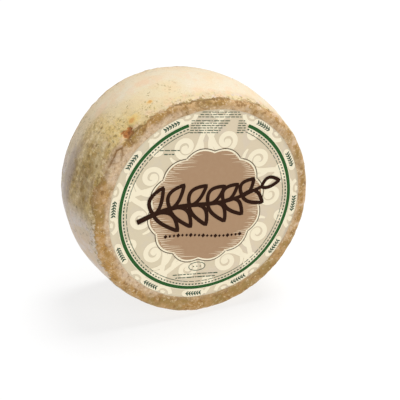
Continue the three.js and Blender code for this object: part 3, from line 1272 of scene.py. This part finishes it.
def scroll(middle, start, way, radius, turns, tail, width):
    """A spiral that opens from its eye, with a tail that sweeps on, as points and widths."""
    share = np.linspace(0, 1, round(22 * turns))
    angle = start + way * share * turns * TURN
    path = polar(radius * (0.10 + 0.90 * share**0.85), angle, middle)
    across, along = path[-1] - path[-2]
    heading = math.atan2(along, across)
    place = path[-1]
    extra = []
    for i in range(TAIL_STEPS):
        heading += way * (0.16 - 0.030 * i)
        place = place + tail / TAIL_STEPS * np.array((math.cos(heading), math.sin(heading)))
        extra.append(place)
    path = np.concatenate((path, extra))
    taper = np.linspace(0, 1, len(path))
    return path, width * np.clip(np.minimum(0.55 + 4 * taper, 6 * (1 - taper)), 0.12, 1)


def clipped(path, widths, inner, outer):
    """The stretches of a path that keep between two radii."""
    radius = np.hypot(path[:, 0], path[:, 1])
    keep = (radius > inner) & (radius < outer)
    stretch = []
    for i, kept in enumerate(keep):
        if kept:
            stretch.append(i)
        if stretch and (not kept or i == len(keep) - 1):
            if len(stretch) > 2:
                yield path[stretch], widths[stretch]
            stretch = []


def build_scrolls():
    """Cream scrolls all over the beige ground, in a layout of their own."""
    cream = Print("label_scrolls")
    runs = []
    for k in range(LARGE_SCROLLS):
        angle = TURN * (k + 0.25) / LARGE_SCROLLS
        way = 1 if k % 2 else -1
        middle = polar(LARGE_SCROLL_RING, angle)
        runs.append(scroll(middle, angle + 0.6 * way, way, **LARGE_SCROLL))
        cream.disc(polar(SCROLL_EYE, ring_angles(14), middle), middle)
        start = angle + 0.5 * way
        curve = arc(SCROLL_ARC["radius"], 30, start + SCROLL_ARC["from"], start + SCROLL_ARC["to"], middle)
        swelling = np.sin(np.linspace(0.12, math.pi - 0.12, len(curve))) ** 0.5
        runs.append((curve, SCROLL_ARC["width"] * swelling))
        between = angle + TURN / (2 * LARGE_SCROLLS)
        runs.append(scroll(polar(SMALL_SCROLL_RING, between), between + 2.4, -way, **SMALL_SCROLL))
    for k in range(BORDER_ARCS):
        angle = TURN * (k + 0.5) / BORDER_ARCS
        for radius, wide in BORDER_ARC_SIZES:
            curve = arc(radius, 30, angle + 1.2, angle + 5.1, polar(BORDER_ARC_RING, angle))
            runs.append((curve, np.full(len(curve), wide)))
    inner = bpy.context.scene.cheese_label.rosette_radius - SCROLL_MARGIN["rosette"]
    outer = label_radius() - SCROLL_MARGIN["edge"]
    for path, widths in runs:
        for run, wide in clipped(path, widths, inner, outer):
            cream.stroke(run, wide)
    cream.finished("cream_ink", "label_paper")


def open_angles():
    """Start and end of the green band, which is open at the top."""
    half = bpy.context.scene.cheese_label.opening / 2
    return math.pi / 2 + half, math.pi / 2 - half + TURN


def build_green_band():
    """The green band, with its cream edge."""
    label = bpy.context.scene.cheese_label
    path = arc(label.band_radius, BAND_STEPS, *open_angles())
    halo = Print("band_halo")
    halo.stroke(path, label.band_width + HALO_MARGIN)
    halo.finished("cream_ink", "label_paper")
    band = Print("green_ring")
    band.stroke(path, label.band_width)
    band.finished("green_ink", "green_print", "green_band")


def build_dashed_rings():
    """Short dark dashes inside the green band, and a broken hairline inside them."""
    start, end = open_angles()
    dashed = Print("ring_dashes")
    for k in range(DASH_RING["count"]):
        angle = start + (end - start) * (k + 0.5) / DASH_RING["count"]
        half = DASH_RING["half"] / DASH_RING["radius"]
        dashed.stroke(arc(DASH_RING["radius"], 2, angle - half, angle + half), DASH_RING["width"])
    for k in range(HAIRLINE["count"]):
        angle = start + (end - start) * (k + 0.5) / HAIRLINE["count"]
        half = (HAIRLINE["half"] + HAIRLINE["stray"] * math.sin(7.0 * k)) / HAIRLINE["radius"]
        dashed.stroke(arc(HAIRLINE["radius"], 4, angle - half, angle + half), HAIRLINE["width"])
    dashed.finished("leaf_ink", "green_print")


def rosette_outline(grow=0.0):
    """The scalloped outline, larger by a given margin."""
    label = bpy.context.scene.cheese_label
    angle = ring_angles(label.lobes * LOBE_STEPS)
    dip = 1 - np.abs(np.sin(label.lobes * angle / 2))
    return polar(label.rosette_radius + grow - label.scallop * dip, angle)


def build_rosette():
    """The brown rosette on its cream ground, with woodcut hatching and a dark outline."""
    label = bpy.context.scene.cheese_label
    ground = Print("rosette_ground")
    ground.disc(rosette_outline(GROUND_MARGIN), rings=ROSETTE_RINGS)
    ground.finished("cream_ink", "label_paper")
    brown = Print("rosette_field")
    brown.disc(rosette_outline(), rings=ROSETTE_RINGS)
    brown.finished("brown_ink", "brown_print", "rosette", bare=0.09)
    line = Print("rosette_line")
    line.stroke(rosette_outline(LINE_MARGIN), LINE_WIDTH, closed=True)
    line.finished("outline_ink", "brown_print")
    rng = np.random.default_rng(5)
    hatch = Print("rosette_hatching")
    share = np.linspace(0, 1, 6)
    for k in range(HATCH_ROWS):
        up = label.rosette_radius * HATCH_REACH * (2 * (k + 0.5) / HATCH_ROWS - 1)
        edge = math.sqrt(label.rosette_radius**2 - up**2) - label.scallop * 0.5
        for side in (-1, 1):
            reach = rng.uniform(3, 17) * MM * (1.25 if side < 0 else 0.8)
            first = edge - rng.uniform(-1.0, 1.2) * MM
            path = np.stack((side * (first - reach * share), up + 0.25 * MM * np.sin(5 * share + k)), axis=1)
            hatch.stroke(path, rng.uniform(0.55, 0.95) * MM * (1 - share) ** 0.7 + HATCH_TIP)
    hatch.finished("hatch_ink", "label_paper")


def leaf(root, heading, long, wide, steps=24):
    """The closed outline of a pointed leaf."""
    share = np.linspace(0, 1, steps)
    half = wide / 2 * np.sin(math.pi * share**0.85) ** 0.9
    bend = 0.10 * long * np.sin(math.pi * share)
    upper = np.stack((long * share, half + bend), axis=1)
    lower = np.stack((long * share, -half + bend), axis=1)[::-1]
    outline = np.concatenate((upper, lower[1:-1]))
    turn = np.array(((math.cos(heading), math.sin(heading)), (-math.sin(heading), math.cos(heading))))
    return outline @ turn + np.asarray(root)


def build_leafy_sprig():
    """A large sprig in brush strokes that rises to the right across the rosette."""
    sprig = Print("leafy_sprig")
    share = np.linspace(0, 1, STEM_STEPS)
    across = -62 + 112 * share
    up = -13 + 30 * share + 4 * np.sin(TURN * share)
    stem = np.stack((across, up), axis=1) * MM
    sprig.stroke(stem, (4.8 - 1.6 * share) * MM)
    for k in range(SPRIG_LEAVES):
        i = round((0.12 + 0.145 * k) * (STEM_STEPS - 1))
        right, rise = stem[i + 1] - stem[i]
        for side in (-1, 1):
            heading = math.atan2(rise, right) + side * math.radians(56 - 3 * k)
            outline = leaf(stem[i], heading, (27 - 1.5 * k - 2 * side) * MM, 11 * MM)
            sprig.stroke(outline, SPRIG_LINE, closed=True)
    tip = leaf(stem[-1], math.radians(20), 17 * MM, 9 * MM)
    sprig.stroke(tip, TIP_LINE, closed=True)
    sprig.finished("dark_ink", "brown_print")


def build_border_sprigs():
    """Small green sprigs around the border but not at the top, each on a cream field."""
    sprigs = Print("border_sprigs")
    fields = Print("border_fields")
    share = np.linspace(-1, 1, 24)
    ring = BORDER_SPRIG["ring"]
    half = BORDER_SPRIG["half"] / ring
    for k in range(1, BORDER_PLACES):
        middle = math.pi / 2 + TURN * k / BORDER_PLACES
        path = polar(BORDER_FIELD["ring"], middle + share * BORDER_FIELD["half"] / ring)
        fields.stroke(path, BORDER_FIELD["width"] * np.clip(1.04 - share**6, 0.05, 1) ** 0.5)
        sprigs.stroke(arc(ring, 8, middle - half, middle + half), BORDER_SPRIG["stem"])
        for j in range(SPRIG_LEAVES):
            angle = middle - half + 2 * half * (j + 0.3) / SPRIG_LEAVES
            for side in (-1, 1):
                heading = angle + math.pi / 2 + side * 0.8
                outline = leaf(polar(ring, angle), heading, BORDER_SPRIG["long"], BORDER_SPRIG["wide"], 7)
                sprigs.disc(outline, outline.mean(axis=0))
    fields.finished("cream_ink", "label_paper")
    sprigs.finished("leaf_ink", "green_print")


def dashes(marks, rng, left, right, up, tall):
    """A row of short dashes of uneven length and height."""
    lost = bpy.context.scene.cheese_label.lost_print
    at = left
    while at < right - 1.2 * MM:
        wide = min(rng.uniform(1.3, 5.2) * MM, right - at)
        if rng.random() >= lost:
            path = ((at, up), (at + wide / 2, up), (at + wide, up))
            marks.stroke(path, tall * rng.uniform(0.8, 1.1))
        at += wide + rng.uniform(0.7, 1.1) * MM


def build_small_marks():
    """Rows of dashes, an oval with dots and a row of diamonds."""
    rng = np.random.default_rng(17)
    marks = Print("small_marks")
    for group in DASH_ROWS:
        for k in range(group["rows"]):
            up = (group["up"] - group["step"] * k) * MM
            for left, left_step, right, right_step in group["columns"]:
                ends = ((left + left_step * k) * MM, (right + right_step * k) * MM)
                dashes(marks, rng, *ends, up, group["tall"] * MM)
    angles = ring_angles(48)
    oval = np.stack((OVAL["wide"] * np.cos(angles), OVAL["up"] + OVAL["tall"] * np.sin(angles)), axis=1)
    marks.stroke(oval, OVAL["line"], closed=True)
    for k in range(OVAL_DOTS):
        middle = ((k - 1) * OVAL_DOT_STEP, OVAL["up"])
        marks.disc(polar(OVAL_DOT, ring_angles(8), middle), middle)
    marks.finished("leaf_ink", "green_print")
    row = Print("diamond_row")
    diamond = np.array(((1, 0), (0, 1.1), (-1, 0), (0, -1.1)))
    for k in range(DIAMONDS):
        middle = np.array((-34 + 3.9 * k, -27.5 + 0.9 * math.sin(k * 0.35))) * MM
        size = (1.35 if k % 3 else 1.9) * MM
        row.disc(middle + size * diamond, middle)
    row.finished("dark_ink", "brown_print")


# The stage

LIGHTS = (
    {"name": "overhead", "source": (0.28, 0.08, 0.95), "strength": 2.34, "spread": 32},
    {"name": "front", "source": (0.45, -0.80, 0.40), "strength": 0.85, "spread": 30},
)
STUDIO_LIGHT = 0.45
WHITE = (1, 1, 1, 1)
FLOOR_HALF = 6.0
FLOOR_GLOW = 0.74
FLOOR_TONES = ((0.21, 0.21, 0.21), (0.23, 0.23, 0.23))


def add_soft_light(name, source, strength, spread):
    """Even soft light from a direction, as wide as a large panel seen from the wheel."""
    data = bpy.data.lights.new(name, "SUN")
    data.energy = strength
    data.angle = math.radians(spread)
    light = bpy.data.objects.new(name, data)
    light.location = source
    light.rotation_mode = "QUATERNION"
    light.rotation_quaternion = (-Vector(source)).to_track_quat("-Z", "Y")
    bpy.context.scene.collection.objects.link(light)


def add_camera():
    """The camera at the photograph's viewing angle, with the wheel's middle at its place in the picture."""
    view = bpy.context.scene.cheese_view
    centre = Wheel(bpy.context.scene.cheese_wheel).centre
    level = math.cos(view.elevation)
    back = Vector((math.sin(view.azimuth) * level, -math.cos(view.azimuth) * level, math.sin(view.elevation)))
    data = bpy.data.cameras.new("camera")
    data.lens = view.lens
    data.sensor_width = view.sensor
    focal = view.lens / view.sensor * view.picture
    right = (-back).cross(Vector((0, 0, 1))).normalized()
    up = right.cross(-back)
    look = -back
    look += right * ((view.picture / 2 - view.wheel_across) / focal)
    look -= up * ((view.picture / 2 - view.wheel_down) / focal)
    camera = bpy.data.objects.new("camera", data)
    camera.location = centre + back * view.distance
    camera.rotation_mode = "QUATERNION"
    camera.rotation_quaternion = look.to_track_quat("-Z", "Y")
    bpy.context.scene.collection.objects.link(camera)
    bpy.context.scene.camera = camera


def add_floor():
    """A plain pale floor."""
    corners = np.array(((-1, -1, 0), (1, -1, 0), (1, 1, 0), (-1, 1, 0))) * FLOOR_HALF
    finish = Finish("floor", roughness=0.9)
    finish.fix("Emission Color", WHITE)
    finish.fix("Emission Strength", FLOOR_GLOW)
    tone = finish.mix(finish.noise(lump=800, detail=2, roughness=0.5), *FLOOR_TONES)
    floor = new_piece("floor", corners, [(0, 1, 2, 3)], finish.done(tone), smooth=False)
    floor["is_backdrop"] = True


def add_world():
    """Even white light from all around."""
    world = bpy.data.worlds.new("studio")
    world.use_nodes = True
    background = world.node_tree.nodes["Background"]
    background.inputs["Color"].default_value = WHITE
    background.inputs["Strength"].default_value = STUDIO_LIGHT
    bpy.context.scene.world = world


# Operators, panel and registration


class CHEESE_OT_rind(bpy.types.Operator):
    """Make the whole cheese with its uneven rind"""

    bl_idname = "cheese.rind"
    bl_label = "Rind"

    def execute(self, context):
        build_rind()
        return {"FINISHED"}


class CHEESE_OT_paper(bpy.types.Operator):
    """Make the round paper label"""

    bl_idname = "cheese.paper"
    bl_label = "Paper label"

    def execute(self, context):
        build_paper()
        return {"FINISHED"}


class CHEESE_OT_scrolls(bpy.types.Operator):
    """Print the cream scrolls on the label"""

    bl_idname = "cheese.scrolls"
    bl_label = "Scrolls"

    def execute(self, context):
        build_scrolls()
        return {"FINISHED"}


class CHEESE_OT_rings(bpy.types.Operator):
    """Print the green band and the dashed rings"""

    bl_idname = "cheese.rings"
    bl_label = "Rings"

    def execute(self, context):
        build_green_band()
        build_dashed_rings()
        return {"FINISHED"}


class CHEESE_OT_rosette(bpy.types.Operator):
    """Print the rosette with its hatching and outline"""

    bl_idname = "cheese.rosette"
    bl_label = "Rosette"

    def execute(self, context):
        build_rosette()
        return {"FINISHED"}


class CHEESE_OT_sprigs(bpy.types.Operator):
    """Print the large sprig and the small ones around the border"""

    bl_idname = "cheese.sprigs"
    bl_label = "Sprigs"

    def execute(self, context):
        build_leafy_sprig()
        build_border_sprigs()
        return {"FINISHED"}


class CHEESE_OT_marks(bpy.types.Operator):
    """Print the rows of dashes and diamonds"""

    bl_idname = "cheese.marks"
    bl_label = "Small marks"

    def execute(self, context):
        build_small_marks()
        return {"FINISHED"}


class CHEESE_OT_stage(bpy.types.Operator):
    """Set up the floor, the lights and the camera"""

    bl_idname = "cheese.stage"
    bl_label = "Stage"

    def execute(self, context):
        add_camera()
        add_floor()
        add_world()
        for light in LIGHTS:
            add_soft_light(**light)
        context.scene.view_settings.view_transform = "Standard"
        return {"FINISHED"}


OPERATORS = (
    CHEESE_OT_stage,
    CHEESE_OT_rind,
    CHEESE_OT_paper,
    CHEESE_OT_scrolls,
    CHEESE_OT_rings,
    CHEESE_OT_rosette,
    CHEESE_OT_sprigs,
    CHEESE_OT_marks,
)


class CHEESE_PT_panel(bpy.types.Panel):
    """Lists the pieces in the sidebar"""

    bl_idname = "CHEESE_PT_panel"
    bl_label = "Cheese wheel"
    bl_space_type = "VIEW_3D"
    bl_region_type = "UI"
    bl_category = "Cheese"

    def draw(self, context):
        for operator in OPERATORS:
            self.layout.operator(operator.bl_idname)


SETTINGS = {
    "cheese_wheel": CheeseWheelSizes,
    "cheese_label": CheeseLabelSizes,
    "cheese_colours": CheeseColours,
    "cheese_view": CheeseView,
}


def register():
    """Registers the settings, the operators and the panel."""
    for name, group in SETTINGS.items():
        bpy.utils.register_class(group)
        setattr(bpy.types.Scene, name, PointerProperty(type=group))
    for item in (*OPERATORS, CHEESE_PT_panel):
        bpy.utils.register_class(item)


def unregister():
    """Removes what register added."""
    for item in (CHEESE_PT_panel, *reversed(OPERATORS)):
        bpy.utils.unregister_class(item)
    for name, group in SETTINGS.items():
        delattr(bpy.types.Scene, name)
        bpy.utils.unregister_class(group)


def write_sizes():
    """Works out the solid's box and the dressed cheese's box."""
    low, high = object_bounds()
    sizes = {"cad": [list(CAD_LOW), list(CAD_HIGH)], "visual": [list(low), list(high)]}


def main():
    """Makes every piece in order."""
    register()
    bpy.ops.cheese.stage()
    bpy.ops.cheese.rind()
    bpy.ops.cheese.paper()
    bpy.ops.cheese.scrolls()
    bpy.ops.cheese.rings()
    bpy.ops.cheese.rosette()
    bpy.ops.cheese.sprigs()
    bpy.ops.cheese.marks()
    write_sizes()


if __name__ == "__main__":
    main()
